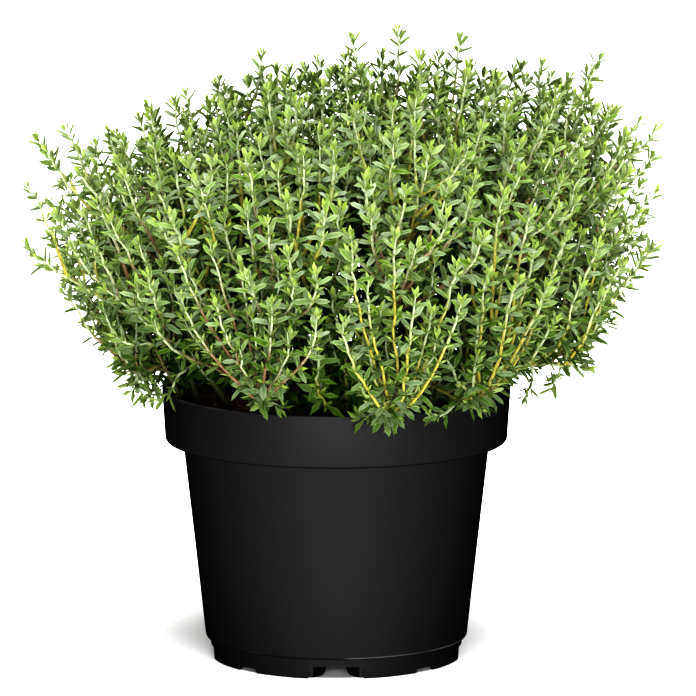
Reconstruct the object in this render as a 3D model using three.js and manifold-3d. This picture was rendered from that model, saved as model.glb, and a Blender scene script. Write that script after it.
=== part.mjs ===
// Potted thyme: a black nursery pot, its plug of potting soil, and leafy stems that stand in the soil.
// Millimetres, +Z up, origin on the pot's axis at the surface that the pot stands on.

import * as THREE from "three";
import { LoftGeometry } from "three/addons/geometries/LoftGeometry.js";
import { mergeVertices } from "three/addons/utils/BufferGeometryUtils.js";
import Module from "manifold-3d";

const wasm = await Module();
wasm.setup();
const radians = THREE.MathUtils.degToRad;
const QUARTER = Math.PI / 2;

// Pot
const POT_HEIGHT = 102;
const RIM_RADIUS = 65;
const BAND_HEIGHT = 20;
const BAND_FOOT_RADIUS = 63.8;
const NECK_RADIUS = 57.2;
const WAIST_RADIUS = 48.9;
const FOOT_RADIUS = 46.6;
const FOOT_HEIGHT = 7.6;
const FOOT_FLARE = 0.5;
const WALL = 1.4;
const FLOOR_UNDERSIDE = 4;
const FLOOR_FILLET = 2;
const ROUNDING = 1.2;
const POT_SIDES = 40;
const NOTCHES = 4;
const NOTCH_WIDTH = 20.6;
const NOTCH_HEIGHT = 4.7;
const STEP_WIDTH = 8;
const STEP_FLARE = 1.5;
const STEP_HEIGHT = 1.7;
const RIB_LENGTH = 9.6;
const RIB_FLAT = 3.4;
const RIB_PLACE = -44.6;
const RIB_REACH = 4;
const DRAIN_RADIUS = 4;
const DRAIN_PLACE = 33;

// Soil
const GAP = 0.3;
const SOIL_TOP = 97;
const SOIL_CROWN = 1.5;
const SOIL_SHOULDER = 1;
const SOIL_RINGS = 4;
const SOIL_SIDES = 24;
const LUMP_HEIGHT = 0.8;
const LUMP_WAVES = [[0.21, 0.17], [0.31, 0.43]];

// Stems: where they rise from, and the crown that their tips reach
const STEMS = 44;
const GOLDEN_ANGLE = Math.PI * (3 - Math.sqrt(5));
const BASE_RADIUS = 55;
const BASE_SPREAD = 0.4;
const CROWN_RADIUS = 112;
const CROWN_MIDDLE = 162;
const CROWN_RISE = 56;
const CROWN_DROP = 72;
const LOWEST_TIP = radians(126);
const TIP_LEAN = radians(70);
const LEAN_GROWTH = 1.3;
const LEAN_PER_MM = 1 / 80;
const DROOP_BELOW = 125;
const DROOP = radians(2);
const BASE_LEAN = [radians(3), radians(38)];
const TIP_SCATTER = 0.09;
const TURN_SCATTER = 0.16;
const HANDLE = 0.36;
const SHORTEST_HANDLE = 26;
const STEM_RADIUS = [1.4, 0.7];
const STEM_STEPS = 4;
const ROOTED = 10;
const SEED = 41;

// Sprig tips that stand out of the crown, by their places in the real plant
const OUTLINE_TIPS = [
  [23, 8, 234], [48, -38, 224], [5, 42, 221], [-25, -42, 219], [-45, 30, 212], [95, 30, 217], [76, -50, 209],
  [107, -25, 199], [112, 6, 191], [111, -30, 171], [-108, 4, 190], [-94, -38, 188], [-71, 44, 201],
  [-110, -22, 154], [-108, 32, 166], [103, 14, 124], [93, -30, 114], [-80, -20, 110], [-70, 20, 104],
  [20, -76, 101], [-28, -78, 108], [52, -64, 104],
];

// Side sprigs: one leaves each stem part of the way up
const SPRIG_PLACE = 0.5;
const SPRIG_SHARE = 0.36;
const SPRIG_LEAN = radians(48);
const SPRIG_RADIUS = [0.85, 0.6];
const SPRIG_STEPS = 2;
const SPRIG_SWEEP = 0.3;
const SPRIG_TURNS = 8;

// Leaves, in opposite pairs, each pair a quarter turn from the last
const LEAF_LENGTH = 11.5;
const LEAF_WIDTH = 4.9;
const LEAF_RIDGE = 0.9;
const LEAF_WIDEST = 0.45;
const LEAF_CURL = 1.2;
const LEAF_SINK = 0.35;
const NUDGE = 0.02;
const NUDGES = 12;
const SLIVER = 0.002;
const TIP_LEAF = 0.85;
const LEAF_SPREAD = [radians(32), radians(60)];
const STEM_PAIRS = 5;
const SPRIG_PAIRS = 3;
const TIP_BARE = 1.2;
const TIP_STEP = 4.5;
const LEAFY_SHARE = 0.62;
const SWINGS = [0, 22, -22, 44, -44].map(radians);
const CLEAR = 0.4;

// The geometry as a closed solid, with its shared vertices merged and its empty triangles left out.
function solidOf(geometry) {
  const bare = new THREE.BufferGeometry();
  bare.setAttribute("position", geometry.attributes.position);
  bare.setIndex(geometry.index);
  const merged = mergeVertices(bare, 1e-3);
  const index = merged.index.array;
  const kept = [];
  for (let i = 0; i < index.length; i += 3) {
    const [a, b, c] = [index[i], index[i + 1], index[i + 2]];
    if (a !== b && b !== c && c !== a) kept.push(a, b, c);
  }
  return new wasm.Manifold(
    new wasm.Mesh({
      numProp: 3,
      vertProperties: merged.attributes.position.array,
      triVerts: new Uint32Array(kept),
    }),
  );
}

// The largest body of the solid, without scraps, and with any hollow that the joining sealed filled.
function mainBody(solid) {
  return solid.decompose().reduce((a, b) => (a.volume() > b.volume() ? a : b));
}

function meshOf(name, solid, material) {
  const cut = solid.getMesh();
  const positions = new Float32Array(cut.numVert * 3);
  for (let i = 0; i < cut.numVert; i++) {
    positions.set(cut.vertProperties.subarray(i * cut.numProp, i * cut.numProp + 3), i * 3);
  }
  const geometry = new THREE.BufferGeometry();
  geometry.setAttribute("position", new THREE.BufferAttribute(positions, 3));
  geometry.setIndex(new THREE.BufferAttribute(new Uint32Array(cut.triVerts), 1));
  geometry.computeVertexNormals();
  const mesh = new THREE.Mesh(geometry, material);
  mesh.name = name;
  return mesh;
}

function lathe(profile, sides) {
  const points = profile.map(([radius, height]) => new THREE.Vector2(radius, height));
  return new THREE.LatheGeometry(points, sides).rotateX(QUARTER);
}

// A stream of numbers from 0 to 1 that is the same for the same seed.
function numbers(seed) {
  let state = seed;
  return () => {
    state = (state + 0x6d2b79f5) | 0;
    let mixed = Math.imul(state ^ (state >>> 15), 1 | state);
    mixed = (mixed + Math.imul(mixed ^ (mixed >>> 7), 61 | mixed)) ^ mixed;
    return ((mixed ^ (mixed >>> 14)) >>> 0) / 4294967296;
  };
}

// Pot
const BAND_FOOT = POT_HEIGHT - BAND_HEIGHT;
const FLOOR_TOP = FLOOR_UNDERSIDE + WALL;

function potProfile() {
  return [
    [0, FLOOR_UNDERSIDE],
    [FOOT_RADIUS - WALL, FLOOR_UNDERSIDE],
    [FOOT_RADIUS - WALL, 0],
    [FOOT_RADIUS, 0],
    [FOOT_RADIUS + FOOT_FLARE, FOOT_HEIGHT],
    [WAIST_RADIUS - ROUNDING, FOOT_HEIGHT],
    [WAIST_RADIUS, FOOT_HEIGHT + ROUNDING],
    [NECK_RADIUS, BAND_FOOT],
    [BAND_FOOT_RADIUS - ROUNDING, BAND_FOOT],
    [BAND_FOOT_RADIUS, BAND_FOOT + ROUNDING],
    [RIM_RADIUS, POT_HEIGHT - ROUNDING / 2],
    [RIM_RADIUS - WALL / 2, POT_HEIGHT],
    [RIM_RADIUS - WALL, POT_HEIGHT - ROUNDING / 2],
    [BAND_FOOT_RADIUS - WALL, BAND_FOOT + WALL],
    [NECK_RADIUS - WALL, BAND_FOOT + WALL],
    [WAIST_RADIUS - WALL, FOOT_HEIGHT + WALL],
    [WAIST_RADIUS - WALL - FLOOR_FILLET, FLOOR_TOP],
    [0, FLOOR_TOP],
  ];
}

function notchCutter() {
  const half = NOTCH_WIDTH / 2;
  const box = new THREE.BoxGeometry(NOTCH_WIDTH, 3 * WALL, 2 * NOTCH_HEIGHT);
  return box.translate(0, -Math.sqrt(FOOT_RADIUS ** 2 - half ** 2), 0);
}

function stepCutter() {
  const half = STEP_WIDTH / 2;
  const outline = new THREE.Shape([
    new THREE.Vector2(-half - STEP_FLARE, -STEP_HEIGHT),
    new THREE.Vector2(half + STEP_FLARE, -STEP_HEIGHT),
    new THREE.Vector2(half, STEP_HEIGHT),
    new THREE.Vector2(-half, STEP_HEIGHT),
  ]);
  const prism = new THREE.ExtrudeGeometry(outline, { depth: 4 * WALL, bevelEnabled: false });
  return prism.rotateX(QUARTER).translate(0, -FOOT_RADIUS + 3 * WALL, 0);
}

// A rib that runs inwards from one side of a notch and ends in a quarter round.
function rib(side) {
  const top = FLOOR_UNDERSIDE + WALL / 2;
  const outline = new THREE.Shape();
  outline.moveTo(0, 0);
  outline.lineTo(RIB_FLAT, 0);
  outline.absellipse(RIB_FLAT, top, RIB_LENGTH - RIB_FLAT, top, -QUARTER, 0);
  outline.lineTo(0, top);
  const flat = new THREE.ExtrudeGeometry(outline, { depth: WALL, bevelEnabled: false, curveSegments: 4 });
  const start = NOTCH_WIDTH / 2 + WALL / 2;
  const inwards = Math.acos((RIB_REACH - start) / RIB_LENGTH);
  return flat
    .rotateX(QUARTER)
    .translate(0, WALL / 2, 0)
    .rotateZ(side > 0 ? inwards : Math.PI - inwards)
    .translate(side * start, RIB_PLACE, 0);
}

function potSolid() {
  let pot = solidOf(lathe(potProfile(), POT_SIDES));
  for (let i = 0; i < NOTCHES; i++) {
    const turn = (i * 4 * QUARTER) / NOTCHES;
    const between = turn + (2 * QUARTER) / NOTCHES;
    pot = pot.subtract(solidOf(notchCutter().rotateZ(turn)));
    pot = pot.subtract(solidOf(stepCutter().rotateZ(between)));
    for (const side of [-1, 1]) {
      pot = pot.add(solidOf(rib(side).rotateZ(turn)));
    }
    for (const place of [turn, between]) {
      const drain = new THREE.CylinderGeometry(DRAIN_RADIUS, DRAIN_RADIUS, 4 * WALL, 8);
      drain.rotateX(QUARTER).translate(0, -DRAIN_PLACE, FLOOR_TOP).rotateZ(place);
      pot = pot.subtract(solidOf(drain));
    }
  }
  return pot;
}

// Soil: a plug a little smaller than the pot's inside, with a domed top where two trains of lumps cross
function soilHeight(x, y) {
  const dome = SOIL_CROWN * (1 - (x * x + y * y) / RIM_RADIUS ** 2);
  const [coarse, fine] = LUMP_WAVES;
  const lumps = Math.sin(coarse[0] * x) * Math.cos(coarse[1] * y) + Math.sin(fine[0] * x + fine[1] * y) / 2;
  return SOIL_TOP + dome + LUMP_HEIGHT * lumps;
}

function soilBlank() {
  const shoulder = SOIL_TOP - SOIL_SHOULDER;
  const slope = (RIM_RADIUS - BAND_FOOT_RADIUS) / BAND_HEIGHT;
  const topRadius = BAND_FOOT_RADIUS + slope * (shoulder - BAND_FOOT) - WALL - GAP;
  const profile = [
    [0, FLOOR_TOP + GAP],
    [WAIST_RADIUS - WALL - FLOOR_FILLET - GAP, FLOOR_TOP + GAP],
    [WAIST_RADIUS - WALL - GAP, FOOT_HEIGHT + WALL],
    [NECK_RADIUS - WALL - GAP, BAND_FOOT + WALL + GAP],
    [BAND_FOOT_RADIUS - WALL - GAP, BAND_FOOT + WALL + GAP],
    [topRadius, shoulder],
  ];
  for (let ring = SOIL_RINGS - 1; ring >= 0; ring--) {
    profile.push([(topRadius * ring) / SOIL_RINGS, SOIL_TOP]);
  }
  const plug = lathe(profile, SOIL_SIDES);
  const places = plug.attributes.position;
  for (let i = 0; i < places.count; i++) {
    if (places.getZ(i) > shoulder + SOIL_SHOULDER / 2) {
      places.setZ(i, soilHeight(places.getX(i), places.getY(i)));
    }
  }
  return solidOf(plug);
}

// Stems
function crownPoint(polar, azimuth, share) {
  const radius = share * CROWN_RADIUS * Math.sin(polar);
  const rise = share * Math.cos(polar) * (polar < Math.PI / 2 ? CROWN_RISE : CROWN_DROP);
  return new THREE.Vector3(radius * Math.cos(azimuth), radius * Math.sin(azimuth), CROWN_MIDDLE + rise);
}

function leaning(angle, azimuth) {
  const across = Math.sin(angle);
  return new THREE.Vector3(across * Math.cos(azimuth), across * Math.sin(azimuth), Math.cos(angle));
}

// Bases fill the pot in a sunflower's spiral. The nearer one is to the rim, the lower its tip lies.
function ruleStem(i) {
  const next = numbers(SEED + i);
  const share = (i + 0.5) / STEMS;
  const azimuth = i * GOLDEN_ANGLE;
  const baseRadius = BASE_RADIUS * share ** BASE_SPREAD;
  const polar = Math.acos(1 - share * (1 - Math.cos(LOWEST_TIP)));
  const tip = crownPoint(polar, azimuth + TURN_SCATTER * (next() - 0.5), 1 - TIP_SCATTER * next());
  const base = new THREE.Vector3(baseRadius * Math.cos(azimuth), baseRadius * Math.sin(azimuth), 0);
  base.z = soilHeight(base.x, base.y);
  return { base, tip, share: baseRadius / BASE_RADIUS };
}

// Each sprig tip of the outline is reached by the stem that the rule brings nearest to it.
function bendToOutline(stems) {
  const free = new Set(stems);
  for (const place of OUTLINE_TIPS) {
    const target = new THREE.Vector3(...place);
    const nearest = [...free].reduce((a, b) => (a.tip.distanceTo(target) < b.tip.distanceTo(target) ? a : b));
    nearest.tip = target;
    free.delete(nearest);
  }
}

// A length of stem along a curve, as straight steps from bend to bend.
function shoot(stem, curve, steps, radii) {
  return { stem, curve, radii, bends: curve.getSpacedPoints(steps), length: curve.getLength() };
}

// The main shoot: straight through the soil, then one smooth sweep up to the tip.
function grow(stem) {
  const azimuth = Math.atan2(stem.base.y, stem.base.x);
  const tipAzimuth = Math.atan2(stem.tip.y - stem.base.y / 2, stem.tip.x - stem.base.x / 2);
  const drop = Math.acos(THREE.MathUtils.clamp((stem.tip.z - CROWN_MIDDLE) / CROWN_DROP, -1, 1));
  const droop = DROOP * Math.max(0, DROOP_BELOW - stem.tip.z);
  const lean = TIP_LEAN * Math.min(1, drop / LOWEST_TIP) ** LEAN_GROWTH;
  const most = LEAN_PER_MM * Math.hypot(stem.tip.x, stem.tip.y);
  const arrive = leaning(droop + Math.min(lean, most), tipAzimuth);
  const reach = Math.max(SHORTEST_HANDLE, HANDLE * stem.base.distanceTo(stem.tip));
  stem.side = new THREE.Vector3(-Math.sin(tipAzimuth), Math.cos(tipAzimuth), 0);
  stem.away = leaning(THREE.MathUtils.lerp(...BASE_LEAN, stem.share ** 2), azimuth);
  stem.foot = stem.base.clone().addScaledVector(stem.away, -ROOTED);
  const curve = new THREE.CubicBezierCurve3(
    stem.base,
    stem.base.clone().addScaledVector(stem.away, reach),
    stem.tip.clone().addScaledVector(arrive, -reach),
    stem.tip,
  );
  stem.main = shoot(stem, curve, STEM_STEPS, STEM_RADIUS);
}

// Two directions across a shoot at a tangent: one level, one square to it.
function acrossAt(shoot, tangent) {
  const level = shoot.stem.side;
  const side = level.clone().addScaledVector(tangent, -level.dot(tangent)).normalize();
  return [side, tangent.clone().cross(side)];
}

function middleAt(shoot, u) {
  const steps = shoot.bends.length - 1;
  const step = Math.min(Math.floor(u * steps), steps - 1);
  return shoot.bends[step].clone().lerp(shoot.bends[step + 1], u * steps - step);
}

function radiusAt(shoot, u) {
  return THREE.MathUtils.lerp(...shoot.radii, u);
}

function turned(across, angle) {
  return across[0].clone().multiplyScalar(Math.cos(angle)).addScaledVector(across[1], Math.sin(angle));
}

// Thyme's stems are square, and their leaves grow from the flats.
function squareSection(centre, across, radius) {
  return [0, 1, 2, 3].map((corner) => {
    const angle = (corner + 0.5) * QUARTER;
    return centre.clone().addScaledVector(turned(across, angle), radius);
  });
}

function shootSections(shoot) {
  return shoot.bends.map((bend, i) => {
    const u = i / (shoot.bends.length - 1);
    return squareSection(bend, acrossAt(shoot, shoot.curve.getTangentAt(u)), radiusAt(shoot, u));
  });
}

function capped(sections) {
  return new LoftGeometry(sections, { capStart: true, capEnd: true });
}

function stemGeometry(stem) {
  const rooted = squareSection(stem.foot, acrossAt(stem.main, stem.away), STEM_RADIUS[0]);
  return capped([rooted, ...shootSections(stem.main)]);
}

function holeGeometry(stem) {
  const across = acrossAt(stem.main, stem.away);
  const radius = STEM_RADIUS[0] + Math.SQRT2 * GAP;
  const bottom = stem.foot.clone().addScaledVector(stem.away, -GAP);
  const top = stem.base.clone().addScaledVector(stem.away, ROOTED);
  return capped([squareSection(bottom, across, radius), squareSection(top, across, radius)]);
}

// Room between neighbours: each step of a shoot and each leaf is kept as a rod with a radius.
const rods = [];

function rodGap(a, b) {
  const [along, other] = [a.end.clone().sub(a.start), b.end.clone().sub(b.start)];
  const between = a.start.clone().sub(b.start);
  const [aa, bb, ab] = [along.lengthSq(), other.lengthSq(), along.dot(other)];
  const [ac, bc] = [along.dot(between), other.dot(between)];
  const skew = aa * bb - ab * ab;
  let s = skew > 1e-9 ? THREE.MathUtils.clamp((ab * bc - ac * bb) / skew, 0, 1) : 0;
  const t = THREE.MathUtils.clamp((ab * s + bc) / bb, 0, 1);
  s = THREE.MathUtils.clamp((ab * t - ac) / aa, 0, 1);
  return between.addScaledVector(along, s).addScaledVector(other, -t).length() - a.radius - b.radius;
}

function shootRods(shoot) {
  const radius = shoot.radii[0];
  return shoot.bends.slice(1).map((end, i) => ({ start: shoot.bends[i], end, radius, shoot }));
}

function clearOfPot(rod) {
  return [0, 0.5, 1].every((share) => {
    const point = rod.start.clone().lerp(rod.end, share);
    const radius = Math.hypot(point.x, point.y);
    const margin = rod.radius + 2 * CLEAR;
    if (radius < RIM_RADIUS - WALL - margin) return point.z > soilHeight(point.x, point.y) + margin;
    return point.z > POT_HEIGHT + margin || radius > RIM_RADIUS + margin;
  });
}

function room(rod, neighbours) {
  if (!clearOfPot(rod)) return 0;
  return neighbours.reduce((least, other) => Math.min(least, rodGap(rod, other)), Infinity);
}

// A side sprig leaves the stem at a slant and sweeps up beside it.
function sideShoot(stem, turn) {
  const tangent = stem.main.curve.getTangentAt(SPRIG_PLACE);
  const out = turned(acrossAt(stem.main, tangent), turn);
  const start = middleAt(stem.main, SPRIG_PLACE);
  const reach = SPRIG_SHARE * stem.main.length;
  const ahead = tangent.clone().multiplyScalar(Math.cos(SPRIG_LEAN));
  const leave = ahead.addScaledVector(out, Math.sin(SPRIG_LEAN));
  const bend = start.clone().addScaledVector(leave, reach / 2);
  const onward = tangent.clone().lerp(leave, SPRIG_SWEEP).normalize();
  const end = bend.clone().addScaledVector(onward, reach / 2);
  return shoot(stem, new THREE.QuadraticBezierCurve3(start, bend, end), SPRIG_STEPS, SPRIG_RADIUS);
}

// Of the turns round the stem, the sprig takes the one with the most room.
function branch(stem) {
  const neighbours = rods.filter((rod) => rod.shoot.stem !== stem);
  let most = CLEAR;
  for (let i = 0; i < SPRIG_TURNS; i++) {
    const sprig = sideShoot(stem, (i * 4 * QUARTER) / SPRIG_TURNS);
    const least = Math.min(...shootRods(sprig).map((rod) => room(rod, neighbours)));
    if (least > most) {
      most = least;
      stem.sprig = sprig;
    }
  }
  if (stem.sprig) rods.push(...shootRods(stem.sprig));
}

// Leaves
function leafGeometry(leaf) {
  const { root, heading, top, length, width } = leaf;
  const across = top.clone().cross(heading);
  const at = (along, half, ridge, drop) =>
    [[-half, 0], [half, 0], [0, ridge]].map(([sideways, lift]) =>
      root
        .clone()
        .addScaledVector(heading, along * length)
        .addScaledVector(across, sideways)
        .addScaledVector(top, lift - drop),
    );
  return new LoftGeometry([
    at(0, 0, 0, 0),
    at(LEAF_WIDEST, width / 2, LEAF_RIDGE, 0),
    at(1, 0, 0, LEAF_CURL),
  ]);
}

// A shoot's pairs: two crowd together at the tip, and the others stand evenly down the leafy share.
function pairPlaces(shoot, pairs) {
  const places = [1 - TIP_BARE / shoot.length, 1 - (TIP_BARE + TIP_STEP) / shoot.length];
  for (let i = 1; i <= pairs - 2; i++) {
    places.push(1 - (LEAFY_SHARE * i) / (pairs - 2));
  }
  return places;
}

function leafAt(shoot, u, turn, swing, young) {
  const tangent = shoot.curve.getTangentAt(u);
  const across = acrossAt(shoot, tangent);
  const out = turned(across, turn + swing);
  const flat = radiusAt(shoot, u) * Math.SQRT1_2;
  const spread = THREE.MathUtils.lerp(LEAF_SPREAD[1], LEAF_SPREAD[0], young);
  const size = THREE.MathUtils.lerp(1, TIP_LEAF, young);
  return {
    root: middleAt(shoot, u).addScaledVector(turned(across, turn), flat - LEAF_SINK),
    heading: tangent.clone().multiplyScalar(Math.cos(spread)).addScaledVector(out, Math.sin(spread)),
    top: tangent.clone().multiplyScalar(Math.sin(spread)).addScaledVector(out, -Math.cos(spread)),
    length: LEAF_LENGTH * size,
    width: LEAF_WIDTH * size,
  };
}

function leafRod(leaf, shoot) {
  const start = leaf.root.clone().addScaledVector(leaf.heading, leaf.width / 2);
  const reach = leaf.root.clone().addScaledVector(leaf.heading, leaf.length);
  return { start, end: reach.addScaledVector(leaf.top, -LEAF_CURL), radius: leaf.width / 2, shoot };
}

// A leaf that would meet a neighbour is swung round its shoot until it is clear, or else left off.
function placeLeaf(shoot, u, turn, young) {
  const neighbours = rods.filter((rod) => rod.shoot !== shoot);
  for (const swing of SWINGS) {
    const leaf = leafAt(shoot, u, turn, swing, young);
    const rod = leafRod(leaf, shoot);
    if (room(rod, neighbours) > CLEAR) {
      rods.push(rod);
      return leafGeometry(leaf);
    }
  }
  return null;
}

function leavesOf(shoot, pairs) {
  const leaves = [];
  pairPlaces(shoot, pairs).forEach((u, pair) => {
    const young = Math.max(0, 1 - pair / 2);
    for (const quarters of [pair, pair + 2]) {
      const leaf = placeLeaf(shoot, u, quarters * QUARTER, young);
      if (leaf) leaves.push(leaf);
    }
  });
  return leaves;
}

function shortestEdge(solid) {
  const { vertProperties, triVerts } = solid.getMesh();
  const corner = (i) => new THREE.Vector3().fromArray(vertProperties, triVerts[i] * 3);
  let shortest = Infinity;
  for (let i = 0; i < triVerts.length; i++) {
    const next = i % 3 === 2 ? i - 2 : i + 1;
    shortest = Math.min(shortest, corner(i).distanceTo(corner(next)));
  }
  return shortest;
}

// What grows from the stem is lowered by hairs, each part by its own, until joining it leaves no sliver.
function leafyStem(stem) {
  const wood = stemGeometry(stem);
  const growth = leavesOf(stem.main, STEM_PAIRS);
  if (stem.sprig) growth.push(capped(shootSections(stem.sprig)), ...leavesOf(stem.sprig, SPRIG_PAIRS));
  let solid = mainBody(wasm.Manifold.union([wood, ...growth].map(solidOf)));
  for (let nudge = 1; nudge <= NUDGES && shortestEdge(solid) < SLIVER; nudge++) {
    growth.forEach((geometry, i) => geometry.translate(0, 0, (-NUDGE * (1 + (i % 3))) / 3));
    solid = mainBody(wasm.Manifold.union([wood, ...growth].map(solidOf)));
  }
  return solid;
}

// Assembly
const plastic = new THREE.MeshStandardMaterial({ color: 0x1c1d1c, roughness: 0.45, metalness: 0 });
const earth = new THREE.MeshStandardMaterial({ color: 0x2b1d16, roughness: 1, metalness: 0 });
const foliage = new THREE.MeshStandardMaterial({ color: 0x5f8248, roughness: 0.75, metalness: 0 });

const thyme = new THREE.Group();
thyme.add(meshOf("pot", potSolid(), plastic));

const stems = Array.from({ length: STEMS }, (_, i) => ruleStem(i));
bendToOutline(stems);
stems.forEach(grow);
const holes = stems.map((stem) => solidOf(holeGeometry(stem)));
thyme.add(meshOf("potting_soil", soilBlank().subtract(wasm.Manifold.union(holes)), earth));

stems.forEach((stem) => rods.push(...shootRods(stem.main)));
stems.forEach(branch);
stems.forEach((stem, i) => {
  const name = `thyme_stem_${String(i + 1).padStart(2, "0")}`;
  thyme.add(meshOf(name, leafyStem(stem), foliage));
});

export default thyme;
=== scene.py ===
# Potted thyme: a black nursery pot, its lumpy potting soil and a crown of fine leafy sprigs.
# Laid out as an add-on and run as a script: each operator makes one piece or one group of like pieces.
import math
from contextlib import contextmanager

import bpy
import numpy as np
from bpy.props import FloatProperty, FloatVectorProperty, IntProperty, PointerProperty
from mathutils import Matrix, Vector, noise


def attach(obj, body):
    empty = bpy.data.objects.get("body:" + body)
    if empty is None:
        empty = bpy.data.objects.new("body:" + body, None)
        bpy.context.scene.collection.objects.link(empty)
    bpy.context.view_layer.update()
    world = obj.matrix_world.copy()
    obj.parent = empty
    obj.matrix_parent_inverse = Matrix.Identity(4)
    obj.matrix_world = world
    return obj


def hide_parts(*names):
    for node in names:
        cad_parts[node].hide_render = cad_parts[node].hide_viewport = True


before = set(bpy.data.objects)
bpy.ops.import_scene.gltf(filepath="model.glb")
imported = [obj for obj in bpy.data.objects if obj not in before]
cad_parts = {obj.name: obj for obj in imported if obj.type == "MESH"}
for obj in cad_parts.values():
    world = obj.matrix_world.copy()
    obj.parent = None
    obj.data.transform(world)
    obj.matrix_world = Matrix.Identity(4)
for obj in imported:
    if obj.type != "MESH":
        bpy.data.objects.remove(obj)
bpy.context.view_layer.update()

bl_info = {
    "name": "Potted Thyme",
    "version": (1, 0, 0),
    "blender": (4, 5, 0),
    "location": "View3D > Sidebar > Thyme",
    "description": "Makes a bushy thyme plant in a black nursery pot",
    "category": "Add Mesh",
}

MM = 0.001
UP = np.array([0.0, 0.0, 1.0])
TURN = 2 * math.pi
QUARTER = math.pi / 2


# Settings
def setting(kind, **limits):
    """A kind of setting. Each one of the kind is given its own name, description and default."""

    def one(name, description, default, **own):
        return kind(name=name, description=description, default=default, **{**limits, **own})

    return one


length = setting(FloatProperty, min=0, precision=5, unit="LENGTH")
angle = setting(FloatProperty, subtype="ANGLE")
share = setting(FloatProperty, min=0, max=1, subtype="FACTOR")
strength = setting(FloatProperty, min=0)
colour = setting(FloatVectorProperty, min=0, max=1, subtype="COLOR")
count = setting(IntProperty, min=0)


class PotSettings(bpy.types.PropertyGroup):
    height: length("Height", "Height of the pot", 0.102)
    rim_radius: length("Rim radius", "Outer radius at the rim", 0.065)
    band_height: length("Band height", "Height of the wide band below the rim", 0.020)
    band_foot_radius: length("Band foot radius", "Outer radius at the lower edge of the band", 0.0637)
    neck_radius: length("Neck radius", "Outer radius of the wall just below the band", 0.0572)
    waist_radius: length("Waist radius", "Outer radius of the wall just above the foot", 0.0488)
    foot_radius: length("Foot radius", "Outer radius of the foot", 0.0466)
    foot_height: length("Foot height", "Height of the foot", 0.0076)
    foot_flare: length("Foot flare", "How much wider the foot is at its top", 0.0005)
    floor_height: length("Floor height", "Height of the underside of the pot's floor", 0.004)
    wall: length("Wall", "Thickness of the wall", 0.0014)
    notch_width: length("Notch width", "Width of the notches in the foot", 0.0206)
    notch_height: length("Notch height", "Height of the notches in the foot", 0.0047)
    drain_radius: length("Drain radius", "Radius of the drain holes", 0.004)
    sides: count("Sides", "Straight steps round the pot", 160, min=24)
    plastic: colour("Plastic", "Colour of the plastic", (0.0010, 0.0011, 0.0010))
    dust: colour("Dust", "Fine dust on the wall", (0.030, 0.027, 0.023))
    # Dust on the lip, and also a painted highlight on the edge above the foot.
    dust_and_glint: colour("Worn", "Dust on the lip, and the worn edge at the foot", (0.160, 0.140, 0.130))
    roughness: share("Roughness", "Roughness of the plastic", 0.56)
    sheen: share("Sheen", "How much light the satin surface throws back", 0.020)


class SoilSettings(bpy.types.PropertyGroup):
    crumbs: count("Crumbs", "Number of loose crumbs", 1100)
    crumb_size: length("Crumb size", "Radius of a common crumb", 0.0009)
    fibres: count("Fibres", "Number of loose fibres", 240)
    seed: count("Seed", "Seed of the crumbs and fibres", 11)
    dark: colour("Dark soil", "Colour of the damp soil", (0.028, 0.012, 0.009))
    light: colour("Light soil", "Colour of the dry crumbs", (0.120, 0.052, 0.036))
    fibre: colour("Fibre", "Colour of the fibres", (0.200, 0.075, 0.040))


class FoliageSettings(bpy.types.PropertyGroup):
    leaf_length: length("Leaf length", "Length of a full-grown leaf", 0.0068)
    leaf_width: length("Leaf width", "Width of a full-grown leaf", 0.0023)
    internode: length("Internode", "Longest step from one pair of leaves to the next", 0.0078)
    sprigs: count("Sprigs", "Side sprigs added to each stem", 16)
    shoots: count("Ground shoots", "Most shoots that rise from the soil beside a stem", 4)
    seed: count("Seed", "Seed of the added sprigs and leaves", 7)
    mature: colour("Grown leaf", "Upper side of a grown leaf", (0.074, 0.139, 0.004))
    grey: colour("Grey leaf", "Upper side of a greyer leaf", (0.196, 0.236, 0.168))
    fresh: colour("Young leaf", "Leaf near a tip or in an axil", (0.272, 0.362, 0.072))
    underside: colour("Underside", "Lower side of a leaf", (0.168, 0.218, 0.055))
    # Painted shade: the dark colour that leaves and stems deep in the crown are turned towards.
    inner: colour("Inner leaf", "Leaf deep inside the crown", (0.010, 0.028, 0.000))
    glow: colour("Glow", "Light that a leaf lets through", (0.200, 0.345, 0.012))
    # This colour is also painted along the leaf margins as a highlight.
    tip_stem_and_margin_highlight: colour("Young stem", "Stem near its tip, and the margin of a leaf", (0.318, 0.365, 0.225))
    mid_stem: colour("Ochre stem", "Stem half way down", (0.330, 0.300, 0.065))
    red_stem: colour("Reddish stem", "Stem half way down, on redder stems", (0.175, 0.105, 0.055))
    wood: colour("Woody stem", "Stem near the soil", (0.050, 0.031, 0.020))


class StageSettings(bpy.types.PropertyGroup):
    elevation: angle("Elevation", "Camera's angle above the level", math.radians(9.6))
    distance: length("Distance", "Camera's distance", 3.0)
    view_width: length("View width", "Width of the frame at the pot's axis", 0.25922)
    view_centre_x: length("Centre right", "Middle of the frame, to the right of the pot's axis", 0.00436)
    view_centre_z: length("Centre height", "Middle of the frame above the floor", 0.1162)
    floor: colour("Floor", "Colour of the floor", (0.97, 0.97, 0.97))
    front_light: strength("Front light", "Power of the soft box in front", 28, unit="POWER")
    top_light: strength("Top light", "Strength of the light from above", 6.5)
    top_spread: angle("Top light's width", "How wide the light from above is", math.radians(58))
    fill: strength("Fill", "Strength of the light from all round", 0.05)


# Modelling helpers
@contextmanager
def editing():
    bpy.ops.object.mode_set(mode="EDIT")
    yield
    bpy.ops.object.mode_set(mode="OBJECT")


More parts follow.
